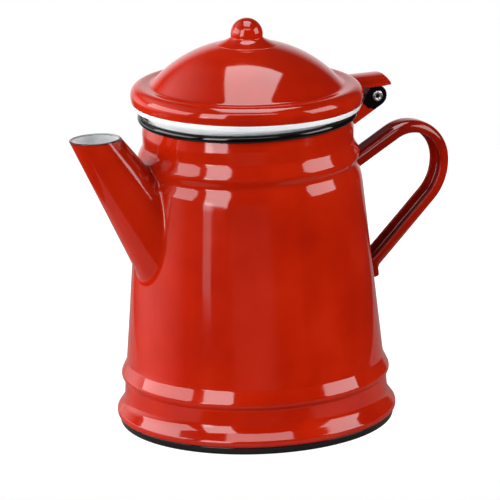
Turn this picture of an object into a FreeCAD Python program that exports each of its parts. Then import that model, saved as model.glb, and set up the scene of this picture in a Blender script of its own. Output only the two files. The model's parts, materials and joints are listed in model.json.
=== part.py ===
import FreeCAD, Part
import math
import os

# Enamelled steel coffee pot with a hinged lid, in millimetres.
# The origin is the centre of the standing plane, on the body's axis. +Z is up, the spout points
# to -X and the handle to +X.

Vec = FreeCAD.Vector
up = Vec(0, 0, 1)
across = Vec(0, 1, 0)

# sheet thicknesses, enamel included
body_wall = 1.0
lid_wall = 0.9
ring_wall = 0.8
spout_wall = 1.0
handle_wall = 1.2
hinge_wall = 1.0

# body: radii and heights of its outer surface
foot_radius = 60.0
foot_turn_in = 2.8
foot_height = 3.2
foot_edge_height = 5.9
flare_radius = 56.6
flare_height = 10.6
low_valley_radius = 56.2
low_valley_height = 18.5
low_rib_radius = 57.95
low_rib_height = 21.0
cone_low_radius = 55.25
cone_low_height = 26.8
cone_top_radius = 47.93
cone_top_height = 107.5
cone_slope = (cone_low_radius - cone_top_radius) / (cone_top_height - cone_low_height)
rib_valley_radius = 45.9
rib_valley_height = 112.3
rib_radius = 47.7
rib_height = 116.4
neck_low_radius = 45.0
neck_low_height = 122.0
neck_rib_radius = 45.2
neck_rib_height = 127.6
neck_top_radius = 44.3
mouth_height = 133.7

# rolled bead round the mouth
bead_radius = 45.3
bead_section = 1.6
bead_hollow = 0.6

# bottom disc
disc_radius = 58.8
disc_wall = 1.0
standing_ring_width = 2.4
disc_step = 0.9
disc_step_out = 46.0
disc_step_in = 44.6

# spout: a cone cut off level at the tip
spout_tip = Vec(-71.8, 0, 132.0)
spout_lean = math.radians(32.0)
spout_tip_radius = 9.5
spout_taper = math.tan(math.radians(6.6))
spout_reach = 62.0
spout_past_tip = 12.0
strainer_hole_radius = 1.75
strainer_pitch = 6.2
strainer_low = 70.0
strainer_high = 108.0
strainer_margin = 1.2
punch_reach = 6.0

# handle: a channel bent from strip, open towards the body
handle_width = 11.0
handle_depth = 4.8
handle_corner = 3.4
handle_top_bend = 16.2
handle_side_bend = 22.0
handle_out = 91.5
handle_bend_height = 102.5
handle_top_slope = math.radians(28.0)
handle_low_slope = math.radians(43.0)
handle_foot_x = 56.6
handle_foot_height = 54.8
handle_root_x = 40.0

# hinge
pin_x = 57.5
pin_z = 136.0
pin_radius = 1.9
pin_hole = 0.95
pin_head_radius = 2.4
pin_head = 0.6
pin_running_fit = 0.05
ear_face = 9.0
ear_nose = 4.6
bracket_root = (47.9, 125.6)
bracket_inner_x = 40.0
bracket_shoulder = (48.6, 131.6)
knuckle_half = 7.55
knuckle_radius = 3.2
leaf_face = 10.35
leaf_inside = 9.35
leaf_height = 143.9
leaf_vault = 23.5
leaf_start_x = 44.0
leaf_tip_x = 63.6
leaf_skirt_low = 140.2
leaf_skirt_x = 53.4

# lid, drawn level and then turned open by the lift at which the hinge stops it
lid_lift = 1.5
dome_radius = 54.0
dome_top = 164.2
lid_crown_height = 145.5
lid_radius = 49.7
lid_red_edge = 138.2
ring_bottom = 135.7
ring_low_radius = 48.3
skirt_radius = 42.6
skirt_bottom = 128.5
knob_radius = 6.9
knob_height = 167.1
knob_neck = 6.8
knob_flare = (8.4, 164.6)
knob_foot = 13.0
knob_wall = 1.0
knob_base = 150.0


def rounded_edges(corners):
    """Straight runs through (radius, height, fillet) corners, with tangent arcs at the fillets."""
    points = [Vec(r, 0, z) for r, z, fillet in corners]
    edges = []
    start = points[0]
    for i in range(1, len(points) - 1):
        corner = points[i]
        fillet = corners[i][2]
        back = (points[i - 1] - corner).normalize()
        ahead = (points[i + 1] - corner).normalize()
        half = back.getAngle(ahead) / 2
        reach = fillet / math.tan(half)
        middle = (back + ahead).normalize()
        first = corner + back * reach
        last = corner + ahead * reach
        mid = corner + middle * (fillet / math.sin(half) - fillet)
        if (first - start).Length > 1e-4:
            edges.append(Part.LineSegment(start, first).toShape())
        edges.append(Part.Arc(first, mid, last).toShape())
        start = last
    edges.append(Part.LineSegment(start, points[-1]).toShape())
    return edges


def spin(face_or_wire):
    """A solid of revolution about the body's axis."""
    face = face_or_wire
    if face.ShapeType == "Wire":
        face = Part.Face(face)
    return face.revolve(Vec(0, 0, 0), up, 360)


def sheet(edges, wall):
    """A spun sheet: the outline is its outer surface, and the wall lies on the axis side."""
    outline = Part.Wire(edges)
    face = outline.makeOffset2D(wall, 0, True, True, False)
    return spin(face)


def filled(edges, low, high):
    """The space inside an outline, closed to the axis at its two ends."""
    first = edges[0].valueAt(edges[0].FirstParameter)
    last = edges[-1].valueAt(edges[-1].LastParameter)
    closing = [Vec(last.x, 0, high), Vec(0, 0, high), Vec(0, 0, low), Vec(first.x, 0, low)]
    ring = [last] + closing + [first]
    runs = []
    for a, b in zip(ring, ring[1:]):
        if (b - a).Length > 1e-6:
            runs.append(Part.LineSegment(a, b).toShape())
    return spin(Part.Wire(edges + runs))


def level_box(x0, x1, y0, y1, z0, z1):
    return Part.makeBox(x1 - x0, y1 - y0, z1 - z0, Vec(x0, y0, z0))


def plate(points, low, high):
    """A flat piece drawn in the XZ plane, from y = low to y = high."""
    wire = Part.makePolygon([Vec(x, low, z) for x, z in points + points[:1]])
    return Part.Face(wire).extrude(Vec(0, high - low, 0))


def rod(x, z, radius, low, high):
    return Part.makeCylinder(radius, high - low, Vec(x, low, z), across)


def body_outline():
    """Outer surface from the turned-in foot, over the ribs, to the mouth."""
    return rounded_edges([
        (foot_radius - foot_turn_in, foot_height, 0),
        (foot_radius, foot_height, 1.25),
        (foot_radius - 0.05, foot_edge_height, 1.8),
        (flare_radius, flare_height, 8.0),
        (low_valley_radius, low_valley_height, 0.9),
        (low_rib_radius, low_rib_height, 2.4),
        (cone_low_radius, cone_low_height, 1.6),
        (cone_top_radius, cone_top_height, 12.0),
        (rib_valley_radius, rib_valley_height, 3.0),
        (rib_radius, rib_height, 4.0),
        (neck_low_radius, neck_low_height, 4.5),
        (neck_rib_radius, neck_rib_height, 6.0),
        (neck_top_radius, mouth_height - bead_section, 0.4),
        (neck_top_radius, mouth_height, 0),
    ])


def body_space():
    return filled(body_outline(), foot_height, mouth_height)


def rim_bead():
    """The rolled edge of the mouth, a ring of hollow round section."""
    ring = Part.makeTorus(bead_radius, bead_section, Vec(0, 0, mouth_height))
    return ring.cut(Part.makeTorus(bead_radius, bead_hollow, Vec(0, 0, mouth_height)))


def strainer_holes():
    """Holes punched through the wall inside the spout's foot, on a staggered grid."""
    axis_down = Vec(math.sin(spout_lean), 0, -math.cos(spout_lean))
    holes = []
    row = 0
    z = strainer_low
    while z < strainer_high:
        wall_x = -(cone_top_radius + (cone_top_height - z) * cone_slope)
        for step in range(-3, 4):
            y = (step + 0.5 * (row % 2)) * strainer_pitch
            place = Vec(-math.sqrt(wall_x ** 2 - y ** 2), y, z)
            along = (place - spout_tip).dot(axis_down)
            off_axis = (place - spout_tip - axis_down * along).Length
            room = spout_tip_radius + along * spout_taper - spout_wall - off_axis
            if room > strainer_hole_radius + strainer_margin:
                start = Vec(place.x - punch_reach, y, z)
                holes.append(Part.makeCylinder(strainer_hole_radius, 2 * punch_reach, start, Vec(1, 0, 0)))
        row += 1
        z += strainer_pitch * math.sqrt(3) / 2
    return holes


def body_shell():
    shell = sheet(body_outline(), body_wall)
    shell = shell.cut(Part.makeTorus(bead_radius, bead_section, Vec(0, 0, mouth_height)))
    return shell.cut(Part.makeCompound(strainer_holes()))


def bottom_disc():
    """Recessed disc with a rolled standing ring, stepped once to stiffen it."""
    ring_inner = disc_radius - standing_ring_width
    under = foot_height - disc_wall
    top = rounded_edges([
        (0, foot_height + disc_step, 0),
        (disc_step_in, foot_height + disc_step, 1.4),
        (disc_step_out, foot_height, 0.4),
        (disc_radius, foot_height, 0.35),
        (disc_radius, 0, 1.1),
        (ring_inner, 0, 0.8),
        (ring_inner - 0.3, under, 0.35),
        (disc_step_out, under, 1.4),
        (disc_step_in, under + disc_step, 0.4),
        (0, under + disc_step, 0),
    ])
    first = top[0].valueAt(top[0].FirstParameter)
    last = top[-1].valueAt(top[-1].LastParameter)
    return spin(Part.Wire(top + [Part.LineSegment(last, first).toShape()]))


def spout_cone(shrink):
    """The spout's cone, from inside the body to past its tip, smaller all over by shrink."""
    rise = Vec(-math.sin(spout_lean), 0, math.cos(spout_lean))
    low = spout_tip - rise * spout_reach
    low_radius = spout_tip_radius + spout_taper * spout_reach - shrink
    high_radius = spout_tip_radius - spout_taper * spout_past_tip - shrink
    return Part.makeCone(low_radius, high_radius, spout_reach + spout_past_tip, low, rise)


def spout_tube():
    tube = spout_cone(0).cut(spout_cone(spout_wall))
    side = 4 * spout_tip_radius
    above = level_box(spout_tip.x - side, 0, -side, side, spout_tip.z, spout_tip.z + side)
    tube = tube.cut(above).cut(body_space())
    # the far side of the cone, inside and beyond the body, is left out
    outside = [solid for solid in tube.Solids if solid.CenterOfMass.x < -neck_top_radius]
    return outside[0]


def channel_section(origin, along, outward):
    """Section of the strip: a channel whose back faces outward and is rounded at its corners."""
    half = handle_width / 2
    side = across
    back = handle_depth / 2

    def at(y, out):
        return origin + side * y + outward * out

    def rounded_u(inset, open_end):
        wide = half - inset
        out = back - inset
        bend = handle_corner - inset
        turn = bend * (1 - math.sqrt(0.5))
        return [
            Part.LineSegment(at(-wide, open_end), at(-wide, out - bend)).toShape(),
            Part.Arc(at(-wide, out - bend), at(-wide + turn, out - turn), at(-wide + bend, out)).toShape(),
            Part.LineSegment(at(-wide + bend, out), at(wide - bend, out)).toShape(),
            Part.Arc(at(wide - bend, out), at(wide - turn, out - turn), at(wide, out - bend)).toShape(),
            Part.LineSegment(at(wide, out - bend), at(wide, open_end)).toShape(),
        ]

    outer = rounded_u(0, -back)
    inner = rounded_u(handle_wall, -back)
    ends = []
    for y in (-1, 1):
        ends.append(Part.LineSegment(at(y * half, -back), at(y * (half - handle_wall), -back)).toShape())
    return Part.Wire(Part.__sortEdges__(outer + inner + ends))


def handle_path():
    """Middle line of the strip: top leg, two bends and lower leg, in the plane of the spout."""
    top_middle = Vec(handle_out - handle_top_bend, 0, handle_bend_height)
    side_middle = Vec(handle_out - handle_side_bend, 0, handle_bend_height)

    def on(middle, radius, angle):
        return middle + Vec(math.cos(angle), 0, math.sin(angle)) * radius

    top_angle = math.pi / 2 + handle_top_slope
    low_angle = handle_low_slope - math.pi / 2
    top_start = on(top_middle, handle_top_bend, top_angle)
    outermost = Vec(handle_out, 0, handle_bend_height)
    low_end = on(side_middle, handle_side_bend, low_angle)
    run_in = (top_start.x - handle_root_x) / math.cos(handle_top_slope)
    root = top_start - Vec(math.cos(handle_top_slope), 0, math.sin(handle_top_slope)) * run_in
    run_out = (low_end.x - handle_foot_x) / math.cos(handle_low_slope)
    foot = low_end - Vec(math.cos(handle_low_slope), 0, math.sin(handle_low_slope)) * run_out
    bend_one = Part.Arc(top_start, on(top_middle, handle_top_bend, top_angle / 2), outermost)
    bend_two = Part.Arc(outermost, on(side_middle, handle_side_bend, low_angle / 2), low_end)
    edges = [
        Part.LineSegment(root, top_start).toShape(),
        bend_one.toShape(),
        bend_two.toShape(),
        Part.LineSegment(low_end, foot).toShape(),
    ]
    return root, foot, Part.Wire(edges)


def handle_strap():
    root, foot, path = handle_path()
    along = Vec(math.cos(handle_top_slope), 0, math.sin(handle_top_slope))
    outward = Vec(-math.sin(handle_top_slope), 0, math.cos(handle_top_slope))
    strip = path.makePipeShell([channel_section(root, along, outward)], True, True)
    # lower foot: the same channel turned down and deepened to reach the wall
    half = handle_width / 2
    back = handle_foot_x + handle_depth / 2 * math.sin(handle_low_slope)
    high = foot.z + 1.0
    inside = cone_top_radius - 3
    block = level_box(inside, back, -half, half, handle_foot_height, high)
    block = block.makeFillet(handle_corner, [e for e in block.Edges if is_back_edge(e, back)])
    hollow = level_box(inside - 1, back - handle_wall, -half + handle_wall, half - handle_wall,
                       handle_foot_height - 1, high + 1)
    boot = block.cut(hollow)
    below = foot.z - handle_bend_height
    beyond = level_box(0, handle_foot_x, -half - 1, half + 1, below, high)
    strap = strip.cut(beyond).fuse(boot).removeSplitter()
    strap = strap.cut(body_space())
    solids = sorted(strap.Solids, key=lambda s: -s.Volume)
    return solids[0]


def is_back_edge(edge, back):
    box = edge.BoundBox
    return box.XMin > back - 1e-3 and box.ZLength > 1


def hinge_bracket():
    """Body side: two ears on a sloping web, welded to the neck and passing outside the bead."""
    low = Vec(bracket_root[0], 0, bracket_root[1])
    to_pin = Vec(pin_x - low.x, 0, pin_z - low.z)
    gap = to_pin.Length
    swing = math.asin(ear_nose / gap)
    slope = math.atan2(to_pin.z, to_pin.x) - swing
    touch = Vec(pin_x + ear_nose * math.sin(slope), 0, pin_z - ear_nose * math.cos(slope))
    side = [
        (bracket_inner_x, low.z - 1.2), (low.x - 1.2, low.z - 0.7), (low.x, low.z), (touch.x, touch.z),
        (pin_x, pin_z), (pin_x - 3.6, pin_z + 2.9), bracket_shoulder,
        (bracket_inner_x, bracket_shoulder[1] - 0.4),
    ]
    ears = plate(side, -ear_face, ear_face)
    ears = ears.fuse(rod(pin_x, pin_z, ear_nose, -ear_face, ear_face))
    # the channel between the ears, above the web
    lift = Vec(-math.sin(slope), 0, math.cos(slope)) * hinge_wall
    clear = ear_nose + 3
    inward = 9.0
    between = [
        (low.x + lift.x - inward, low.z + lift.z - inward * math.tan(slope)),
        (touch.x + lift.x, touch.z + lift.z),
        (pin_x + clear, pin_z - ear_nose + 2.2),
        (pin_x + clear, pin_z + clear), (low.x + lift.x - inward, pin_z + clear),
    ]
    inner = ear_face - hinge_wall
    bracket = ears.cut(plate(between, -inner, inner))
    bracket = bracket.cut(rod(pin_x, pin_z, pin_radius, -ear_face - 1, ear_face + 1))
    bracket = bracket.cut(body_space())
    bracket = bracket.cut(Part.makeTorus(bead_radius, bead_section, Vec(0, 0, mouth_height)))
    return bracket


def hinge_pin():
    """Tubular rivet with a rolled head at each end."""
    pin = rod(pin_x, pin_z, pin_radius, -ear_face, ear_face)
    for side in (-1, 1):
        start = Vec(pin_x, side * ear_face, pin_z)
        head = Part.makeCone(pin_head_radius, pin_head_radius - 0.35, pin_head, start, across * side)
        pin = pin.fuse(head)
    reach = ear_face + pin_head + 1
    return pin.cut(rod(pin_x, pin_z, pin_hole, -reach, reach))


def leaf_vaulted(radius):
    """A long cylinder whose top is the leaf's vault, for cutting other shapes to it."""
    low = Vec(leaf_start_x - 10, 0, leaf_height - leaf_vault)
    return Part.makeCylinder(radius, leaf_tip_x - leaf_start_x + 20, low, Vec(1, 0, 0))


def hinge_leaf():
    """Lid side: a vaulted web over the hinge with two side skirts, and a tongue rolled round the pin."""
    over = leaf_height + 1
    web = level_box(leaf_start_x, leaf_tip_x, -leaf_face, leaf_face, leaf_skirt_low, over)
    web = web.common(leaf_vaulted(leaf_vault)).cut(leaf_vaulted(leaf_vault - hinge_wall))
    top = leaf_height - leaf_vault + math.sqrt(leaf_vault ** 2 - leaf_face ** 2)
    under = top - hinge_wall / 2
    skirt = [(leaf_start_x + 2, under), (leaf_tip_x - 0.4, under), (leaf_tip_x - 0.6, under - 0.3),
             (leaf_tip_x - 3.2, leaf_skirt_low), (leaf_skirt_x, leaf_skirt_low),
             (leaf_start_x + 2, leaf_skirt_low + 1.0)]
    leaf = web
    for side in (-1, 1):
        low, high = sorted((side * leaf_face, side * leaf_inside))
        leaf = leaf.fuse(plate(skirt, low, high).common(leaf_vaulted(leaf_vault)))
    tongue = level_box(pin_x - knuckle_radius, pin_x - knuckle_radius + hinge_wall,
                       -knuckle_half, knuckle_half, pin_z, over)
    leaf = leaf.fuse(tongue.common(leaf_vaulted(leaf_vault)))
    leaf = leaf.fuse(rod(pin_x, pin_z, knuckle_radius, -knuckle_half, knuckle_half))
    bore = pin_radius + pin_running_fit
    leaf = leaf.cut(rod(pin_x, pin_z, bore, -knuckle_half - 1, knuckle_half + 1))
    leaf = leaf.cut(lid_space())
    return leaf.removeSplitter()


def dome_z(radius):
    return dome_top - dome_radius + math.sqrt(dome_radius ** 2 - radius ** 2)


def lid_outline():
    """Outer surface of the lid from its middle, over the dome and crown, to the red edge."""
    valley = lid_crown_height - 0.25
    crown_bend = 4.4
    side_bend = 10.5
    widest = lid_crown_height - crown_bend
    crown_x = lid_radius - crown_bend
    side_x = lid_radius - side_bend
    # the dome's arc stops where a small hollow bend takes it on to the flat ledge
    hollow = 2.2
    hollow_z = valley + hollow
    reach = math.sqrt((dome_radius + hollow) ** 2 - (hollow_z - dome_top + dome_radius) ** 2)
    centre = Vec(0, 0, dome_top - dome_radius)
    bend = Vec(reach, 0, hollow_z)
    meet = centre + (bend - centre).normalize() * dome_radius
    turn = math.atan2(meet.z - bend.z, meet.x - bend.x) % (2 * math.pi)
    middle = (turn + 1.5 * math.pi) / 2
    half_dome = math.atan2(meet.x, meet.z - centre.z) / 2
    end_angle = math.asin((widest - lid_red_edge) / side_bend)
    arc_mid = Vec(dome_radius * math.sin(half_dome), 0, centre.z + dome_radius * math.cos(half_dome))
    valley_end = Vec(reach, 0, valley)
    crown_start = Vec(crown_x, 0, lid_crown_height)
    corner = math.sqrt(0.5) * crown_bend
    wide = Vec(lid_radius, 0, widest)
    edge_mid = Vec(side_x + side_bend * math.cos(end_angle / 2), 0,
                   widest - side_bend * math.sin(end_angle / 2))
    edge = Vec(side_x + side_bend * math.cos(end_angle), 0, widest - side_bend * math.sin(end_angle))
    return [
        Part.Arc(Vec(0, 0, dome_top), arc_mid, meet).toShape(),
        Part.Arc(meet, bend + Vec(math.cos(middle), 0, math.sin(middle)) * hollow, valley_end).toShape(),
        Part.LineSegment(valley_end, crown_start).toShape(),
        Part.Arc(crown_start, Vec(crown_x + corner, 0, widest + corner), wide).toShape(),
        Part.Arc(wide, edge_mid, edge).toShape(),
    ]


def lid_space():
    """Everything under the lid's outer surface, down to its red edge."""
    edges = lid_outline()
    last = edges[-1].valueAt(edges[-1].LastParameter)
    closing = [last, Vec(0, 0, last.z), Vec(0, 0, dome_top)]
    runs = [Part.LineSegment(a, b).toShape() for a, b in zip(closing, closing[1:])]
    return spin(Part.Wire(edges + runs))


def lid_shell():
    face = Part.Wire(lid_outline()).makeOffset2D(-lid_wall, 0, True, True, False)
    return spin(face)


def lid_ring():
    """White ring under the lid: outer lip, flange over the bead and skirt inside the mouth."""
    red_end = lid_outline()[-1]
    top = red_end.valueAt(red_end.LastParameter)
    lip = Part.makePolygon([
        Vec(top.x, 0, top.z), Vec(ring_low_radius, 0, ring_bottom),
        Vec(skirt_radius, 0, ring_bottom), Vec(skirt_radius, 0, skirt_bottom),
        Vec(skirt_radius - ring_wall, 0, skirt_bottom),
        Vec(skirt_radius - ring_wall, 0, ring_bottom + ring_wall),
        Vec(ring_low_radius - ring_wall - 0.1, 0, ring_bottom + ring_wall),
        Vec(top.x - lid_wall, 0, top.z), Vec(top.x, 0, top.z),
    ])
    return spin(lip)


def lid_knob():
    """Hollow ball on a flared neck, welded to the top of the dome."""
    foot_z = dome_z(knob_foot) + 0.02
    neck = Vec(knob_neck, 0, knob_height - math.sqrt(knob_radius ** 2 - knob_neck ** 2))
    foot = Vec(knob_foot, 0, foot_z)
    top = Vec(0, 0, knob_height + knob_radius)
    base = Vec(0, 0, knob_base)
    outer = [
        Part.Arc(foot, Vec(knob_flare[0], 0, knob_flare[1]), neck).toShape(),
        Part.Arc(neck, Vec(knob_radius, 0, knob_height), top).toShape(),
        Part.LineSegment(top, base).toShape(),
        Part.LineSegment(base, Vec(knob_foot, 0, knob_base)).toShape(),
        Part.LineSegment(Vec(knob_foot, 0, knob_base), foot).toShape(),
    ]
    knob = spin(Part.Wire(outer))
    knob = knob.cut(Part.makeSphere(knob_radius - knob_wall, Vec(0, 0, knob_height)))
    knob = knob.cut(Part.makeCylinder(knob_neck - knob_wall, knob_height - knob_base, base, up))
    pieces = knob.cut(lid_space()).Solids
    return max(pieces, key=lambda piece: piece.Volume)


def lifted(shape):
    """A lid piece turned from level to where the closed lid stands."""
    turned = shape.copy()
    turned.rotate(Vec(pin_x, 0, pin_z), across, lid_lift)
    return turned


fixed_pieces = {
    "body_shell": body_shell,
    "rim_bead": rim_bead,
    "bottom_disc": bottom_disc,
    "spout_tube": spout_tube,
    "handle_strap": handle_strap,
    "hinge_bracket": hinge_bracket,
    "hinge_pin": hinge_pin,
}
lid_pieces = {
    "lid_shell": lid_shell,
    "lid_ring": lid_ring,
    "lid_knob": lid_knob,
    "hinge_leaf": hinge_leaf,
}

os.makedirs("parts", exist_ok=True)
made = {name: make() for name, make in fixed_pieces.items()}
made.update({name: lifted(make()) for name, make in lid_pieces.items()})
for name, shape in made.items():
    shape.exportStep("parts/" + name + ".step")
    print(name, "solids", len(shape.Solids), "valid", shape.isValid(), "volume", round(shape.Volume))
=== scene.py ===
import bmesh
import bpy
import json
import math
import numpy as np
from mathutils import Matrix, Vector, noise


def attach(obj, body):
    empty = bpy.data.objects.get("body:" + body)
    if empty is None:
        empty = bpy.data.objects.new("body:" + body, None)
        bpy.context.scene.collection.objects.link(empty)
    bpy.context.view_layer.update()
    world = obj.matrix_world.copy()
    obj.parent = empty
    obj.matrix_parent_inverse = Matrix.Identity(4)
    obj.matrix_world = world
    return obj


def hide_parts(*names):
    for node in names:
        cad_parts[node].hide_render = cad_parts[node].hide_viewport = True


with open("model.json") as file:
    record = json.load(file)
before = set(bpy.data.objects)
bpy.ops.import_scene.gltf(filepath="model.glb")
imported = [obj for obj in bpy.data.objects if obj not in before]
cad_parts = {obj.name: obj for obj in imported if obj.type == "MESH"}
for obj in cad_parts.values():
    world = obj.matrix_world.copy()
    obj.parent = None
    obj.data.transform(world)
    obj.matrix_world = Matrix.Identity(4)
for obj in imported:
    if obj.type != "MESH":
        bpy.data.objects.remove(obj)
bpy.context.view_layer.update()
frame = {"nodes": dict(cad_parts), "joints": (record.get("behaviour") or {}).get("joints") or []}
scene = bpy.context.scene
print("frame loaded")

# Lengths in the dictionaries are millimetres; mm turns them into the frame's metres.
mm = 0.001


def linear(hexColour):
    # sRGB hex to the linear values that Blender's sockets take
    values = [int(hexColour[i:i + 2], 16) / 255 for i in (1, 3, 5)]
    return [v / 12.92 if v <= 0.04045 else ((v + 0.055) / 1.055) ** 2.4 for v in values] + [1.0]


def addNode(tree, kind, settings=None, inputs=None):
    # settings are the node's own fields, and inputs its sockets: a value, or an output to link
    made = tree.nodes.new(kind)
    for field, value in (settings or {}).items():
        setattr(made, field, value)
    for socket, value in (inputs or {}).items():
        if isinstance(value, bpy.types.NodeSocket):
            tree.links.new(value, made.inputs[socket])
        else:
            made.inputs[socket].default_value = value
    return made


def smoothStep(low, high, value):
    t = np.clip((value - low) / (high - low), 0, 1)
    return t * t * (3 - 2 * t)


def arcPoints(middle, radius, fromDeg, toDeg, stepDeg=4.0):
    count = max(2, int(abs(toDeg - fromDeg) / stepDeg) + 1)
    return [(middle[0] + radius * math.cos(math.radians(a)), middle[1] + radius * math.sin(math.radians(a)))
            for a in np.linspace(fromDeg, toDeg, count)]


def roundedOutline(corners, runStep=2.5, arcStep=5.0):
    # straight runs through (radius, height, fillet) corners, with tangent arcs at the fillets
    spots = [np.array(c[:2], float) for c in corners]
    points = [spots[0]]
    for i in range(1, len(spots)):
        if i == len(spots) - 1:
            arc = [spots[i]]
        else:
            back = spots[i - 1] - spots[i]
            ahead = spots[i + 1] - spots[i]
            back = back / np.linalg.norm(back)
            ahead = ahead / np.linalg.norm(ahead)
            half = math.acos(np.clip(back @ ahead, -1, 1)) / 2
            bend = corners[i][2]
            inward = (back + ahead) / np.linalg.norm(back + ahead)
            middle = spots[i] + inward * bend / math.sin(half)
            first = spots[i] + back * bend / math.tan(half)
            last = spots[i] + ahead * bend / math.tan(half)
            start = math.atan2(*(first - middle)[::-1])
            turn = (math.atan2(*(last - middle)[::-1]) - start + math.pi) % (2 * math.pi) - math.pi
            count = max(3, int(math.degrees(abs(turn)) / arcStep) + 1)
            arc = [middle + bend * np.array([math.cos(start + turn * t), math.sin(start + turn * t)])
                   for t in np.linspace(0, 1, count)]
        run = arc[0] - points[-1]
        pieces = max(1, int(np.linalg.norm(run) / runStep))
        begin = points[-1]
        for step in range(1, pieces):
            points.append(begin + run * step / pieces)
        points.extend(arc)
    return np.array(points)


def inset(points, wall):
    # the same outline, moved to the right of its direction by the wall's thickness
    points = np.array(points, float)
    ahead = np.diff(points, axis=0)
    ahead = ahead / np.maximum(np.linalg.norm(ahead, axis=1), 1e-9)[:, None]
    tangent = np.vstack([ahead[:1], ahead[:-1] + ahead[1:], ahead[-1:]])
    tangent = tangent / np.linalg.norm(tangent, axis=1)[:, None]
    return points + np.stack([tangent[:, 1], -tangent[:, 0]], 1) * wall


def gridFaces(rows, columns, closeColumns):
    faces = []
    for i in range(rows):
        low, high = i * columns, ((i + 1) % rows) * columns
        for j in range(columns if closeColumns else columns - 1):
            k = (j + 1) % columns
            faces.append((low + j, high + j, high + k, low + k))
    return faces


def joined(points, faces, apart=0.001):
    # points that fall together become one, and a face that loses its area goes
    cells = np.round(np.asarray(points, float) / apart).astype(np.int64)
    _, first, where = np.unique(cells, axis=0, return_index=True, return_inverse=True)
    where = where.reshape(-1)
    kept, cleaned = [], []
    for number, face in enumerate(faces):
        corners = []
        for corner in face:
            corner = int(where[corner])
            if corner not in corners:
                corners.append(corner)
        if len(corners) > 2:
            kept.append(number)
            cleaned.append(corners)
    return np.asarray(points, float)[first], cleaned, kept


def makePiece(name, points, faces, body, coats, nodes, zones=None, wobble=0.0, wave=24.0):
    # points in millimetres; zones holds one coat number for each face
    points, faces, kept = joined(points, faces)
    mesh = bpy.data.meshes.new(name)
    mesh.from_pydata((points * mm).tolist(), [], faces)
    for coat in coats:
        mesh.materials.append(coat)
    if zones is not None:
        mesh.polygons.foreach_set("material_index", np.asarray(zones, np.int32)[kept])
    form = bmesh.new()
    form.from_mesh(mesh)
    bmesh.ops.recalc_face_normals(form, faces=form.faces)
    form.to_mesh(mesh)
    form.free()
    mesh.polygons.foreach_set("use_smooth", [True] * len(mesh.polygons))
    if wobble:
        # pressed sheet and fired enamel are never quite true: a slow wave, well under a tenth of a mm
        shift = Vector((3.1, 7.7, 1.3))
        places = np.empty(len(mesh.vertices) * 3)
        mesh.vertices.foreach_get("co", places)
        places = places.reshape(-1, 3)
        normals = np.array([v.vector for v in mesh.vertex_normals])
        push = np.array([noise.noise(Vector(p) / (wave * mm) + shift) for p in places])
        mesh.vertices.foreach_set("co", (places + normals * push[:, None] * wobble * mm).ravel())
    mesh.update()
    piece = bpy.data.objects.new(name, mesh)
    scene.collection.objects.link(piece)
    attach(piece, body)
    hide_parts(*nodes)
    print("made", name, len(mesh.vertices))
    return piece


def lathePoints(loop, turns):
    angles = np.linspace(0, 2 * math.pi, turns, endpoint=False)
    loop = np.asarray(loop, float)
    r, z = loop[:, 0], loop[:, 1]
    rings = [np.stack([r * math.cos(a), r * math.sin(a), z], 1) for a in angles]
    return np.concatenate(rings)


# the fired coats: tones of each colour, and the sizes of what shows in the glaze
enamel = {
    "red": "#A41902", "redThick": "#981502", "redThin": "#AD1F06",
    "strap": "#7E1004", "strapShadedThick": "#6C0C03",   # painted shade: the strap's red and its pool tone are darkened to stand in for the shade the handle sits in
    "black": "#060607", "blackThick": "#020202", "blackThin": "#0B0B0D",
    "white": "#F9FBFC", "whiteShade": "#E6EDF2", "whiteThick": "#F7FAFB",
    "ground": "#140A09",       # dark ground coat, seen where the top coat draws thin over an edge
    "ior": 1.52,               # vitreous enamel is a soda glass
    "pool": 34.0,              # mm across a pool of thicker glaze
    "peel": 2.2,               # mm between the ripples of the fired surface
}


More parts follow.
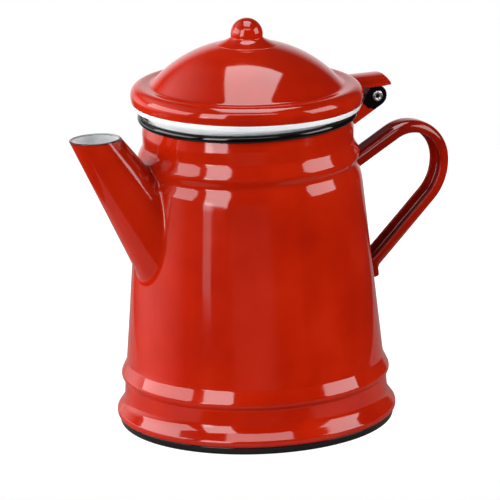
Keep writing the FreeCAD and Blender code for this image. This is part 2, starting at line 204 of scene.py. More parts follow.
def enamelCoat(name, colours, roughness, edgeDark=0.0, peelDepth=0.006):
    # vitreous enamel, sprayed and fired: a deep glassy colour with a faint orange peel
    coat = bpy.data.materials.new(name)
    coat.use_nodes = True
    tree = coat.node_tree
    tree.nodes.clear()
    place = addNode(tree, "ShaderNodeTexCoord").outputs["Object"]
    pool = addNode(tree, "ShaderNodeTexNoise", {}, {
        "Vector": place, "Scale": 1 / (enamel["pool"] * mm), "Detail": 3.0, "Roughness": 0.55})
    tones = addNode(tree, "ShaderNodeValToRGB", {}, {"Fac": pool.outputs["Fac"]})
    tones.color_ramp.elements[0].position = 0.32
    tones.color_ramp.elements[0].color = linear(colours[1])
    tones.color_ramp.elements[1].position = 0.68
    tones.color_ramp.elements[1].color = linear(colours[2])
    middle = tones.color_ramp.elements.new(0.5)
    middle.color = linear(colours[0])
    # pinpoint bubbles near the surface, a fifth of a millimetre across and far apart
    bubbles = addNode(tree, "ShaderNodeTexVoronoi", {"feature": "F1"}, {
        "Vector": place, "Scale": 1 / (3.4 * mm), "Randomness": 1.0})
    dots = addNode(tree, "ShaderNodeMapRange", {}, {
        "Value": bubbles.outputs["Distance"], "From Min": 0.025, "From Max": 0.06,
        "To Min": 0.55, "To Max": 0.0})
    dotted = addNode(tree, "ShaderNodeMix", {"data_type": "RGBA"}, {
        "Factor": dots.outputs["Result"], "A": tones.outputs["Color"], "B": linear(colours[1])})
    colour = dotted.outputs["Result"]
    if edgeDark:
        thin = addNode(tree, "ShaderNodeAttribute", {"attribute_name": "thin"}).outputs["Fac"]
        frayed = addNode(tree, "ShaderNodeTexNoise", {}, {
            "Vector": place, "Scale": 1 / (1.3 * mm), "Detail": 2.0, "Roughness": 0.6})
        bite = addNode(tree, "ShaderNodeMath", {"operation": "MULTIPLY_ADD"}, {
            0: frayed.outputs["Fac"], 1: 0.5, 2: -0.25})
        reach = addNode(tree, "ShaderNodeMath", {"operation": "ADD"}, {0: thin, 1: bite.outputs["Value"]})
        mask = addNode(tree, "ShaderNodeMapRange", {"interpolation_type": "SMOOTHSTEP"}, {
            "Value": reach.outputs["Value"], "From Min": 0.35, "From Max": 0.75, "To Min": 0.0,
            "To Max": edgeDark})
        edged = addNode(tree, "ShaderNodeMix", {"data_type": "RGBA"}, {
            "Factor": mask.outputs["Result"], "A": colour, "B": linear(enamel["ground"])})
        colour = edged.outputs["Result"]
    smear = addNode(tree, "ShaderNodeTexNoise", {}, {
        "Vector": place, "Scale": 1 / (17.0 * mm), "Detail": 4.0, "Roughness": 0.6})
    gloss = addNode(tree, "ShaderNodeMapRange", {}, {
        "Value": smear.outputs["Fac"], "From Min": 0.3, "From Max": 0.75,
        "To Min": roughness[0], "To Max": roughness[1]})
    ripple = addNode(tree, "ShaderNodeTexNoise", {}, {
        "Vector": place, "Scale": 1 / (enamel["peel"] * mm), "Detail": 1.5, "Roughness": 0.4})
    peel = addNode(tree, "ShaderNodeBump", {}, {
        "Strength": 1.0, "Distance": peelDepth * mm, "Height": ripple.outputs["Fac"]})
    shader = addNode(tree, "ShaderNodeBsdfPrincipled", {}, {
        "Base Color": colour, "Roughness": gloss.outputs["Result"], "IOR": enamel["ior"],
        "Normal": peel.outputs["Normal"]})
    addNode(tree, "ShaderNodeOutputMaterial", {}, {"Surface": shader.outputs["BSDF"]})
    return coat


def rivetSteel():
    # turned mild steel, zinc bright: a soft streaked shine with darker pits
    metal = bpy.data.materials.new("rivetSteel")
    metal.use_nodes = True
    tree = metal.node_tree
    tree.nodes.clear()
    place = addNode(tree, "ShaderNodeTexCoord").outputs["Object"]
    streak = addNode(tree, "ShaderNodeMapping", {}, {"Vector": place, "Scale": (1.0, 0.12, 1.0)})
    grain = addNode(tree, "ShaderNodeTexNoise", {}, {
        "Vector": streak.outputs["Vector"], "Scale": 1 / (0.35 * mm), "Detail": 4.0, "Roughness": 0.7})
    tone = addNode(tree, "ShaderNodeValToRGB", {}, {"Fac": grain.outputs["Fac"]})
    tone.color_ramp.elements[0].position = 0.3
    tone.color_ramp.elements[0].color = linear("#B4B8BC")
    tone.color_ramp.elements[1].position = 0.6
    tone.color_ramp.elements[1].color = linear("#F0F2F4")
    rough = addNode(tree, "ShaderNodeMapRange", {}, {
        "Value": grain.outputs["Fac"], "From Min": 0.3, "From Max": 0.7, "To Min": 0.46, "To Max": 0.32})
    relief = addNode(tree, "ShaderNodeBump", {}, {
        "Strength": 1.0, "Distance": 0.02 * mm, "Height": grain.outputs["Fac"]})
    shader = addNode(tree, "ShaderNodeBsdfPrincipled", {}, {
        "Base Color": tone.outputs["Color"], "Metallic": 1.0, "Roughness": rough.outputs["Result"],
        "Normal": relief.outputs["Normal"]})
    addNode(tree, "ShaderNodeOutputMaterial", {}, {"Surface": shader.outputs["BSDF"]})
    return metal


# deep tomato red that mirrors the lamps, a shade darker where the glaze pools
redEnamel = enamelCoat("redEnamel", (enamel["red"], enamel["redThick"], enamel["redThin"]), (0.05, 0.1), 0.9)
# the same red, darkened to wine red as painted shade on the handle, with a slightly softer shine
strapShadedEnamel = enamelCoat("strapShadedEnamel", (enamel["strap"], enamel["strapShadedThick"], enamel["redThick"]),
                         (0.07, 0.13), 0.9)
# near black with crisp white glints along the bead
blackEnamel = enamelCoat("blackEnamel", (enamel["black"], enamel["blackThick"], enamel["blackThin"]),
                         (0.06, 0.12))
# cool milky white, bluish where it is thin
whiteEnamel = enamelCoat("whiteEnamel", (enamel["white"], enamel["whiteShade"], enamel["whiteThick"]),
                         (0.08, 0.15), 0.7)
steel = rivetSteel()
print("materials ready")


# corners run up the outside of the sheet as (radius, height, fillet)
body = {
    "corners": [
        (57.2, 3.2, 0), (60.0, 3.2, 1.25), (59.95, 5.9, 1.8), (56.6, 10.6, 8.0), (56.2, 18.5, 0.9),
        (57.95, 21.0, 2.4), (55.25, 26.8, 1.6), (47.93, 107.5, 12.0), (45.9, 112.3, 3.0),
        (47.7, 116.4, 4.0), (45.0, 122.0, 4.5), (45.2, 127.6, 6.0), (44.3, 132.1, 0.5),
        (44.9, 133.2, 0)],
    "wall": 1.0, "turns": 256, "wobble": 0.07,
    "bead": (45.3, 133.7, 1.6),
    "discRadius": 58.8, "discTop": 3.2, "ringWidth": 2.4, "discWall": 1.0,
    "discStep": (44.6, 46.0, 0.9),   # radii of the stiffening step's two bends, and its height
}
bodyLine = roundedOutline(body["corners"])


def bodyRadius(z):
    climbing = bodyLine[bodyLine[:, 1] > 5.0]
    return np.interp(z, climbing[:, 1], climbing[:, 0])


def bodyNormal(point):
    slope = (bodyRadius(point[2] + 0.3) - bodyRadius(point[2] - 0.3)) / 0.6
    flat = np.array([point[0], point[1], 0.0]) / math.hypot(point[0], point[1])
    normal = flat + np.array([0, 0, -slope])
    return normal / np.linalg.norm(normal)


def ontoBody(point, sink=0.0):
    r = math.hypot(point[0], point[1])
    scale = (bodyRadius(point[2]) - sink) / r
    return np.array([point[0] * scale, point[1] * scale, point[2]])


def makeBodyShell():
    inner = inset(bodyLine, -body["wall"])[::-1]
    loop = np.vstack([bodyLine, inner])
    points = lathePoints(loop, body["turns"])
    faces = gridFaces(body["turns"], len(loop), True)
    outside = len(bodyLine)
    zones = [0 if j < outside - 1 else 1 for i in range(body["turns"]) for j in range(len(loop))]
    return makePiece("bodyShell", points, faces, "pot", [redEnamel, whiteEnamel],
                     ["body_shell"], zones, body["wobble"])


def makeRimBead():
    radius, height, section = body["bead"]
    loop = arcPoints((radius, height), section, 0, 360, 15)[:-1]
    turns = body["turns"]
    return makePiece("rimBead", lathePoints(loop, turns), gridFaces(turns, len(loop), True), "pot",
                     [blackEnamel], ["rim_bead"], None, 0.09, 11.0)


def makeBottomDisc():
    out, top = body["discRadius"], body["discTop"]
    under = top - body["discWall"]
    stepIn, stepOut, rise = body["discStep"]
    ringIn = out - body["ringWidth"]
    line = roundedOutline([
        (0, top + rise, 0), (stepIn, top + rise, 1.4), (stepOut, top, 0.4), (out, top, 0.35), (out, 0, 1.1),
        (ringIn, 0, 0.8), (ringIn - 0.3, under, 0.35),
        (stepOut, under, 1.4), (stepIn, under + rise, 0.4), (0, under + rise, 0)], 3.0, 12.0)
    turns = 192
    faces = gridFaces(turns, len(line), False)
    # the upper side is the white floor of the pot, the rest is black
    white = [1 if line[j][1] > top - 0.05 and line[j][0] < out - 1.5 else 0 for j in range(len(line) - 1)]
    return makePiece("bottomDisc", lathePoints(line, turns), faces, "pot",
                     [blackEnamel, whiteEnamel], ["bottom_disc"], white * turns, 0.04)


bodyShell = makeBodyShell()
rimBead = makeRimBead()
bottomDisc = makeBottomDisc()


# a cone whose tip is cut off level; lean and taper are degrees
spout = {
    "tip": (-71.8, 0.0, 132.0), "lean": 32.0, "tipRadius": 9.5, "taper": 6.6, "wall": 1.0,
    "weld": 2.2, "around": 144, "along": 44,
    "hole": 1.75, "pitch": 6.2, "holesFrom": 70.0, "holesTo": 108.0, "holeMargin": 1.2,
}


def spoutPoint(turn, down, shrink=0.0):
    # a point on the cone: turn about its axis, 0 on its underside, and down the axis from the tip
    lean = math.radians(spout["lean"])
    rise = np.array([-math.sin(lean), 0, math.cos(lean)])
    under = np.array([-math.cos(lean), 0, -math.sin(lean)])
    radial = under * math.cos(turn) + np.array([0, 1, 0]) * math.sin(turn)
    radius = spout["tipRadius"] - shrink + down * math.tan(math.radians(spout["taper"]))
    return np.array(spout["tip"]) - rise * down + radial * radius, radial


def spoutEnds(turn, shrink=0.0):
    # how far down the axis the level tip and the body's wall lie on this line of the cone
    lean = math.radians(spout["lean"])
    taper = math.tan(math.radians(spout["taper"]))
    dip = -math.sin(lean) * math.cos(turn)
    tip = dip * (spout["tipRadius"] - shrink) / (math.cos(lean) - taper * dip)
    low, step = tip, 0.5
    while True:
        point = spoutPoint(turn, low + step, shrink)[0]
        if math.hypot(point[0], point[1]) < bodyRadius(point[2]):
            break
        low += step
    high = low + step
    for _ in range(30):
        half = (low + high) / 2
        point = spoutPoint(turn, half, shrink)[0]
        if math.hypot(point[0], point[1]) < bodyRadius(point[2]):
            high = half
        else:
            low = half
    return tip, low


def weldCurve(leaving, corner, away, reach, steps, sink=0.03):
    # a small hollow fillet of enamel from a piece's surface, through its corner, on to the body
    normal = bodyNormal(corner)
    along = away - normal * (away @ normal)
    along = along / np.linalg.norm(along)
    landing = ontoBody(corner + along * reach, sink)
    return [leaving * (1 - t) ** 2 + corner * 2 * t * (1 - t) + landing * t ** 2
            for t in np.linspace(1, 0, steps + 1)[:-1]]


def makeSpout():
    points, thin = [], []
    weldSteps, lipSteps = 9, 6
    for turn in np.linspace(0, 2 * math.pi, spout["around"], endpoint=False):
        tip, wall = spoutEnds(turn)
        weld = spout["weld"]
        leaving = spoutPoint(turn, wall - weld)[0]
        corner, radial = spoutPoint(turn, wall)
        column = weldCurve(leaving, corner, radial, weld, weldSteps)
        for down in np.linspace(wall - weld, tip + 0.25, spout["along"]):
            column.append(spoutPoint(turn, down)[0])
        outerEdge = spoutPoint(turn, tip)[0]
        tipInside, wallInside = spoutEnds(turn, spout["wall"])
        innerEdge = spoutPoint(turn, tipInside, spout["wall"])[0]
        for t in np.linspace(0, math.pi, lipSteps + 1):
            lip = (outerEdge + innerEdge) / 2 + (outerEdge - innerEdge) / 2 * math.cos(t)
            column.append(lip + np.array([0, 0, 0.42 * math.sin(t) - 0.1]))
        for down in np.linspace(tipInside + 0.3, wallInside + 0.6, 24):
            column.append(spoutPoint(turn, down, spout["wall"])[0])
        points.append(column)
    columns = len(points[0])
    lipStart = weldSteps + spout["along"]
    zones = [0 if j < lipStart + 3 else 1 for i in range(spout["around"]) for j in range(columns - 1)]
    piece = makePiece("spoutTube", np.array(points).reshape(-1, 3),
                      gridFaces(spout["around"], columns, False), "pot",
                      [redEnamel, whiteEnamel], ["spout_tube"], zones, 0.05, 14.0)
    # the top coat draws thin over the ground edge of the tip
    attribute = piece.data.attributes.new("thin", "FLOAT", "POINT")
    heights = np.array([v.co.z for v in piece.data.vertices]) / mm
    attribute.data.foreach_set("value", smoothStep(spout["tip"][2] - 0.55, spout["tip"][2] + 0.05, heights))
    return piece


def punchStrainer(piece):
    # holes through the wall inside the spout's foot, on the same staggered grid as the sheet's
    form = bmesh.new()
    row, z = 0, spout["holesFrom"]
    while z < spout["holesTo"]:
        wall = bodyRadius(z)
        for step in range(-3, 4):
            y = (step + 0.5 * (row % 2)) * spout["pitch"]
            x = -math.sqrt(wall ** 2 - y ** 2)
            lean = math.radians(spout["lean"])
            offset = np.array([x, y, z]) - np.array(spout["tip"])
            axis = np.array([math.sin(lean), 0, -math.cos(lean)])
            down = offset @ axis
            far = np.linalg.norm(offset - axis * down)
            room = spout["tipRadius"] + down * math.tan(math.radians(spout["taper"])) - spout["wall"] - far
            if room > spout["hole"] + spout["holeMargin"]:
                turned = Matrix.Translation(Vector((x, y, z)) * mm) @ Matrix.Rotation(math.pi / 2, 4, "Y")
                bmesh.ops.create_cone(form, cap_ends=True, segments=20, radius1=spout["hole"] * mm,
                                      radius2=spout["hole"] * mm, depth=8 * mm, matrix=turned)
        row += 1
        z += spout["pitch"] * math.sqrt(3) / 2
    mesh = bpy.data.meshes.new("punches")
    form.to_mesh(mesh)
    form.free()
    punches = bpy.data.objects.new("punches", mesh)
    scene.collection.objects.link(punches)
    cut = piece.modifiers.new("punch", "BOOLEAN")
    cut.object = punches
    cut.operation = "DIFFERENCE"
    cut.solver = "EXACT"
    applyModifiers(piece)
    bpy.data.objects.remove(punches)


def applyModifiers(piece):
    evaluated = piece.evaluated_get(bpy.context.evaluated_depsgraph_get())
    mesh = bpy.data.meshes.new_from_object(evaluated)
    piece.modifiers.clear()
    piece.data = mesh
    mesh.polygons.foreach_set("use_smooth", [True] * len(mesh.polygons))
    mesh.update()


spoutTube = makeSpout()
punchStrainer(bodyShell)


# a channel bent from strip; the bends are radii of its middle line, and the slopes degrees
handle = {
    "width": 11.0, "depth": 4.8, "corner": 3.2, "wall": 1.2, "crown": 0.35,
    "topBend": 16.2, "sideBend": 22.0, "out": 91.5, "bendHeight": 102.5,
    "topSlope": 28.0, "lowSlope": 43.0, "footBend": 5.0, "footX": 56.4, "footEnd": 54.8,
    "footLean": 4.0,              # degrees that the foot runs past straight down, towards the wall
    "footClose": (64.0, 59.0),    # heights between which the foot's sides run in to the wall
    "weld": 1.2,
}


def channelLoop():
    # (across, out) points round the strip's section; out is away from the pot's body
    half, back, bend, wall = handle["width"] / 2, handle["depth"] / 2, handle["corner"], handle["wall"]
    lip = wall / 2
    outer = [(-half, s) for s in np.linspace(-back + lip, back - bend, 5)]
    outer += arcPoints((-half + bend, back - bend), bend, 180, 90, 10)[1:]
    outer += [(y, back) for y in np.linspace(-half + bend, half - bend, 7)[1:-1]]
    outer += arcPoints((half - bend, back - bend), bend, 90, 0, 10)
    outer += [(half, s) for s in np.linspace(back - bend, -back + lip, 5)[1:]]
    outer += arcPoints((half - lip, -back + lip), lip, 0, -180, 30)[1:-1]
    inside = half - wall
    inBend = bend - wall
    inner = [(inside, s) for s in np.linspace(-back + lip, back - bend, 5)]
    inner += arcPoints((half - bend, back - bend), inBend, 0, 90, 15)[1:]
    inner += [(y, back - wall) for y in np.linspace(half - bend, -half + bend, 7)[1:-1]]
    inner += arcPoints((-half + bend, back - bend), inBend, 90, 180, 15)
    inner += [(-inside, s) for s in np.linspace(back - bend, -back + lip, 5)[1:]]
    inner += arcPoints((-half + lip, -back + lip), lip, 0, -180, 30)[1:-1]
    loop = np.array(outer + inner)
    loop[:, 1] += handle["crown"] * (1 - (loop[:, 0] / half) ** 2)
    return loop


def handleStations():
    # places and directions along the strip's middle line, from the end of the straight top leg
    top = math.radians(handle["topSlope"])
    low = math.radians(handle["lowSlope"])
    stations = []
    middle = np.array([handle["out"] - handle["topBend"], handle["bendHeight"]])
    for a in np.linspace(math.pi / 2 + top, 0, 46):
        stations.append((middle + handle["topBend"] * np.array([math.cos(a), math.sin(a)]), a - math.pi / 2))
    middle = np.array([handle["out"] - handle["sideBend"], handle["bendHeight"]])
    for a in np.linspace(0, low - math.pi / 2, 22)[1:]:
        stations.append((middle + handle["sideBend"] * np.array([math.cos(a), math.sin(a)]), a - math.pi / 2))
    legStart = stations[-1][0]
    heading = low - math.pi
    lean = math.radians(handle["footLean"])
    turn = math.pi / 2 - low + lean
    bend = handle["footBend"]
    # the straight leg ends where the foot's bend brings the strip to its own line
    drift = bend * (math.sin(low) - math.sin(lean))
    run = (legStart[0] - handle["footX"] - drift / 2) / math.cos(low)
    for s in np.linspace(0, run, 16)[1:]:
        stations.append((legStart + s * np.array([math.cos(heading), math.sin(heading)]), heading))
    start = stations[-1][0]
    # the bend turns left of the heading, towards straight down
    side = np.array([-math.sin(heading), math.cos(heading)])
    centre = start + side * bend
    for t in np.linspace(0, turn, 9)[1:]:
        now = heading + t
        stations.append((centre - bend * np.array([-math.sin(now), math.cos(now)]), now))
    end = stations[-1][0]
    rest = max(0.5, end[1] - handle["footEnd"])
    for s in np.linspace(0, rest, 6)[1:]:
        stations.append((end + s * np.array([math.cos(now), math.sin(now)]), now))
    return stations


def marchToBody(start, direction, sink):
    # how far along a line the body's wall lies
    gone = 0.0
    while gone < 80:
        point = start + direction * gone
        if math.hypot(point[0], point[1]) < bodyRadius(point[2]) - sink:
            return gone
        gone += 0.1
    return gone


def makeHandle():
    loop = channelLoop()
    stations = handleStations()
    half = handle["width"] / 2

    def spot(station, y, out):
        place, heading = station
        outward = np.array([-math.sin(heading), math.cos(heading)])
        flat = place + outward * out
        return np.array([flat[0], y, flat[1]])

    rings = []
    first = stations[0]
    back = -np.array([math.cos(first[1]), 0, math.sin(first[1])])
    starts = [spot(first, y, out) for y, out in loop]
    reach = [marchToBody(p, back, 0.25) for p in starts]
    # enamel gathers in a small fillet where the strip meets the wall
    shape = loop - np.array([0, loop[:, 1].mean()])
    flare = shape / np.linalg.norm(shape, axis=1)[:, None]
    isOuter = np.array([abs(y) > half - 0.4 or out > handle["depth"] / 2 - 0.5 for y, out in loop])
    outward = np.array([-math.sin(first[1]), 0, math.cos(first[1])])
    for share in np.concatenate([[1.0, 0.985, 0.965, 0.94, 0.91], np.linspace(0.86, 0.06, 14)]):
        ring = []
        for k, start in enumerate(starts):
            gone = reach[k] * share
            left = reach[k] - gone
            spread = max(0.0, 1 - left / handle["weld"]) ** 2 * handle["weld"] * 0.7 * isOuter[k]
            aside = np.array([0, 1, 0]) * flare[k][0] + outward * flare[k][1]
            ring.append(start + back * gone + aside * spread)
        rings.append(ring)
    for station in stations:
        ring = []
        for y, out in loop:
            point = spot(station, y, out)
            deep = smoothStep(*handle["footClose"], point[2])
            if deep > 0 and out < handle["depth"] / 2 - handle["corner"] + 0.1:
                # the foot's two sides run in to the wall
                inward = np.array([-1.0, 0, 0])
                share = (handle["depth"] / 2 - handle["corner"] - out) / (handle["depth"] - handle["corner"])
                point = point + inward * marchToBody(point, inward, 0.2) * deep * min(1, max(0, share))
            ring.append(point)
        rings.append(ring)
    count = len(loop)
    points = np.array(rings).reshape(-1, 3)
    faces = []
    for i in range(len(rings) - 1):
        for j in range(count):
            k = (j + 1) % count
            faces.append((i * count + j, (i + 1) * count + j, (i + 1) * count + k, i * count + k))
    # the two ends of the strip, closed between its outer and inner faces
    for base in (0, (len(rings) - 1) * count):
        for j in range(count // 2 - 1):
            a, b = base + j, base + j + 1
            c, d = base + count - 2 - j, base + count - 1 - j
            if len({a, b, c, d}) == 4:
                faces.append((a, b, c, d))
    # the strap takes the red that is darkened as painted shade
    return makePiece("handleStrap", points, faces, "pot", [strapShadedEnamel], ["handle_strap"],
                     None, 0.05, 9.0)


handleStrap = makeHandle()


# drawn level, then lifted about the hinge pin to where the closed lid stands
lid = {
    "domeRadius": 54.0, "domeTop": 164.2, "crown": 145.5, "radius": 49.7, "crownBend": 4.4,
    "sideBend": 10.5, "redEdge": 138.2, "hollow": 2.2, "wall": 0.9, "turns": 256, "wobble": 0.09,
    "lift": 1.5,              # degrees that the closed lid stands open
    "ringBottom": 135.7, "ringLow": 48.3, "skirt": 42.6, "skirtBottom": 128.5, "ringWall": 0.8,
    "knob": 6.9, "knobHeight": 167.1, "knobNeck": 6.8, "knobFlare": (8.4, 164.6), "knobFoot": 13.0,
}
hinge = frame["joints"][0]
pinPlace = Vector(hinge["pos_m"])


def lifted(points):
    # from level to where the closed lid stands, in millimetres
    turn = np.array(Matrix.Rotation(math.radians(lid["lift"]), 3, "Y"))
    pin = np.array(pinPlace) / mm
    return (np.asarray(points) - pin) @ turn.T + pin


def lidLine():
    middle = (0.0, lid["domeTop"] - lid["domeRadius"])
    valley = lid["crown"] - 0.25
    hollowZ = valley + lid["hollow"]
    reach = math.sqrt((lid["domeRadius"] + lid["hollow"]) ** 2 - (hollowZ - middle[1]) ** 2)
    meet = math.degrees(math.atan2(hollowZ - middle[1], reach))
    line = arcPoints(middle, lid["domeRadius"], 90, meet, 1.5)
    line += arcPoints((reach, hollowZ), lid["hollow"], 180 + meet, 270, 6)[1:]
    crownX = lid["radius"] - lid["crownBend"]
    widest = lid["crown"] - lid["crownBend"]
    line += [(x, valley + (lid["crown"] - valley) * smoothStep(reach, crownX, x))
             for x in np.linspace(reach, crownX, 5)[1:-1]]
    line += arcPoints((crownX, widest), lid["crownBend"], 90, 0, 4)
    low = math.degrees(math.asin((widest - lid["redEdge"]) / lid["sideBend"]))
    line += arcPoints((lid["radius"] - lid["sideBend"], widest), lid["sideBend"], 0, -low, 2.5)[1:]
    return np.array(line)


def makeLidShell():
    line = lidLine()
    inner = inset(line, lid["wall"])[::-1]
    inner[-1][0] = 0.0
    loop = np.vstack([line, inner])
    turns = lid["turns"]
    zones = [0 if j < len(line) else 1 for j in range(len(loop) - 1)] * turns
    return makePiece("lidShell", lifted(lathePoints(loop, turns)), gridFaces(turns, len(loop), False),
                     "lid", [redEnamel, whiteEnamel], ["lid_shell"], zones, lid["wobble"], 30.0)


def makeLidRing():
    edge = lidLine()[-1]
    wall = lid["ringWall"]
    bottom, low, skirt = lid["ringBottom"], lid["ringLow"], lid["skirt"]
    line = roundedOutline([
        (edge[0] - 0.45, edge[1] + 0.4, 0), (edge[0] - 0.02, edge[1] - 0.05, 0.2), (low, bottom, 0.45),
        (skirt + 0.2, bottom, 0.5),
        (skirt, lid["skirtBottom"], 0.35), (skirt - wall, lid["skirtBottom"], 0.35),
        (skirt - wall, bottom + wall, 1.2), (low - wall - 0.1, bottom + wall, 0.3),
        (edge[0] - lid["wall"], edge[1] + 0.4, 0), (edge[0] - 0.45, edge[1] + 0.4, 0)], 2.0, 12.0)[:-1]
    turns = 224
    return makePiece("lidRing", lifted(lathePoints(line, turns)), gridFaces(turns, len(line), True), "lid",
                     [whiteEnamel], ["lid_ring"], None, 0.06, 16.0)


def makeLidKnob():
    domeMiddle = lid["domeTop"] - lid["domeRadius"]

    def domeHeight(radius):
        return domeMiddle + math.sqrt(lid["domeRadius"] ** 2 - radius ** 2)

    foot = lid["knobFoot"]
    ball = math.degrees(math.asin(lid["knobNeck"] / lid["knob"]))
    neck = np.array([lid["knobNeck"], lid["knobHeight"] - lid["knob"] * math.cos(math.radians(ball))])
    start = np.array([foot, domeHeight(foot) - 0.02])
    # a curve that leaves the dome smoothly, passes through the flare and climbs to the neck
    corner = 2 * np.array(lid["knobFlare"]) - (start + neck) / 2
    line = [(0.0, domeHeight(0) - 0.4), (foot * 0.6, domeHeight(foot * 0.6) - 0.4)]
    for t in np.linspace(0, 1, 16):
        line.append(tuple(start * (1 - t) ** 2 + corner * 2 * t * (1 - t) + neck * t * t))
    line += arcPoints((0, lid["knobHeight"]), lid["knob"], ball - 90, 90, 5)[1:]
    line[-1] = (0.0, line[-1][1])
    turns = 96
    return makePiece("lidKnob", lifted(lathePoints(line, turns)), gridFaces(turns, len(line), False), "lid",
                     [redEnamel], ["lid_knob"], None, 0.05, 8.0)


lidShell = makeLidShell()
lidRing = makeLidRing()
lidKnob = makeLidKnob()


# the pressed leaf and bracket, and the rivet that joins them
hingeLook = {
    "voxel": 0.2, "rounds": 8,           # mm of the remesh, and passes of smoothing after it
    "noseReach": 5.8, "noseSquash": 0.78, "noseFray": 1.6,   # the black dab round the rivet
}
rivet = {"radius": 1.9, "hole": 0.95, "face": 9.0, "head": 2.4, "proud": 0.25, "turns": 48}


def softened(name, node, body, coats):
    # the pressed sheet of a CAD node with its edges rounded by the enamel that covers them
    source = frame["nodes"][node].data.copy()
    form = bmesh.new()
    form.from_mesh(source)
    bmesh.ops.remove_doubles(form, verts=form.verts, dist=0.002 * mm)
    form.to_mesh(source)
    form.free()
    piece = bpy.data.objects.new(name, source)
    scene.collection.objects.link(piece)
    remesh = piece.modifiers.new("coat", "REMESH")
    remesh.mode = "VOXEL"
    remesh.voxel_size = hingeLook["voxel"] * mm
    smooth = piece.modifiers.new("round", "SMOOTH")
    smooth.factor = 0.5
    smooth.iterations = hingeLook["rounds"]
    applyModifiers(piece)
    piece.data.materials.clear()
    for coat in coats:
        piece.data.materials.append(coat)
    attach(piece, body)
    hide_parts(node)
    print("made", name, len(piece.data.vertices))
    return piece


def bracketCoat():
    # red enamel with the black that was brushed round the rivet, its edge a little uneven
    coat = redEnamel.copy()
    coat.name = "redEnamelBlackNose"
    tree = coat.node_tree
    shader = [n for n in tree.nodes if n.type == "BSDF_PRINCIPLED"][0]
    red = shader.inputs["Base Color"].links[0].from_socket
    place = addNode(tree, "ShaderNodeTexCoord").outputs["Object"]
    apart = addNode(tree, "ShaderNodeVectorMath", {"operation": "SUBTRACT"}, {0: place, 1: tuple(pinPlace)})
    flat = addNode(tree, "ShaderNodeVectorMath", {"operation": "MULTIPLY"}, {
        0: apart.outputs["Vector"], 1: (hingeLook["noseSquash"], 0.0, 1.0)})
    away = addNode(tree, "ShaderNodeVectorMath", {"operation": "LENGTH"}, {0: flat.outputs["Vector"]})
    ragged = addNode(tree, "ShaderNodeTexNoise", {}, {
        "Vector": place, "Scale": 1 / (3.0 * mm), "Detail": 2.0})
    edge = addNode(tree, "ShaderNodeMath", {"operation": "MULTIPLY_ADD"}, {
        0: ragged.outputs["Fac"], 1: hingeLook["noseFray"] * mm, 2: away.outputs["Value"]})
    mask = addNode(tree, "ShaderNodeMapRange", {"interpolation_type": "SMOOTHSTEP"}, {
        "Value": edge.outputs["Value"], "From Min": (hingeLook["noseReach"] + 0.6) * mm,
        "From Max": (hingeLook["noseReach"] + 1.2) * mm, "To Min": 1.0, "To Max": 0.0})
    both = addNode(tree, "ShaderNodeMix", {"data_type": "RGBA"}, {
        "Factor": mask.outputs["Result"], "A": red, "B": linear(enamel["black"])})
    tree.links.new(both.outputs["Result"], shader.inputs["Base Color"])
    return coat


def makePin():
    # tubular rivet: a plain barrel with its ends rolled over into round beads
    hole, face, head = rivet["hole"], rivet["face"], rivet["head"]
    bead = (head - hole) / 2
    reach = face + rivet["proud"]
    line = [(hole, 0.0), (hole, reach)]
    line += arcPoints((hole + bead, reach), bead, 180, 0, 15)
    line += [(head - 0.02, face + 0.05), (rivet["radius"], face), (rivet["radius"], 0.0)]
    half = np.array(line)
    other = half[::-1] * np.array([1, -1])
    loop = np.vstack([half, other[1:-1]])
    points = lathePoints(loop, rivet["turns"])
    pin = np.array(pinPlace) / mm
    turned = np.stack([points[:, 0] + pin[0], points[:, 2] + pin[1], points[:, 1] + pin[2]], 1)
    return makePiece("hingePin", turned, gridFaces(rivet["turns"], len(loop), True), "pot", [steel],
                     ["hinge_pin"], None, 0.05, 1.5)


hingeBracket = softened("hingeBracket", "hinge_bracket", "pot", [bracketCoat()])
hingeLeaf = softened("hingeLeaf", "hinge_leaf", "lid", [redEnamel])
hingePin = makePin()


# the view, and the small sheet of paper under the pot; angles are degrees
look = {
    "azimuth": -25.0, "elevation": 15.2, "distance": 2250.0, "roll": 1.8, "lens": 378.0,
    "aim": (0.0, 0.0, 75.0), "nudge": (-0.72, -1.27),
    "floorSize": (0.17, 0.45), "floorNear": 0.1,   # metres: half width, depth behind and in front
    "floorGap": 0.2, "lightAim": 80.0,
}
# what the glaze mirrors where no lamp stands; edges are cosines from the camera's side
room = {
    "coveEdge": (-0.99, -0.84), "cove": 0.9, "dim": 0.025, "coveRight": 0.7,
    "wallEdge": (-0.6, 0.4), "wall": (1.5, 0.05),
    # bright about eye level and again overhead, with height from -0.5 to 0.5 told as 0 to 1
    "wallBand": ((0.27, 0.0), (0.39, 1.0), (0.6, 1.0), (0.8, 0.0)),
}


def viewDirection(azimuth, elevation):
    a, e = math.radians(azimuth), math.radians(elevation)
    return Vector((math.sin(a) * math.cos(e), -math.cos(a) * math.cos(e), math.sin(e)))


def makeCamera():
    back = viewDirection(look["azimuth"], look["elevation"])
    right = Vector((math.cos(math.radians(look["azimuth"])), math.sin(math.radians(look["azimuth"])), 0))
    top = back.cross(right)
    target = Vector(look["aim"]) * mm + (right * look["nudge"][0] + top * look["nudge"][1]) * mm
    camera = bpy.data.objects.new("camera", bpy.data.cameras.new("camera"))
    camera.data.lens = look["lens"]
    camera.data.sensor_width = 36
    camera.data.clip_end = 50
    facing = Matrix((right, top, back)).transposed().to_4x4()
    tilt = Matrix.Rotation(math.radians(-look["roll"]), 4, "Z")
    camera.matrix_world = Matrix.Translation(target + back * look["distance"] * mm) @ facing @ tilt
    scene.collection.objects.link(camera)
    scene.camera = camera


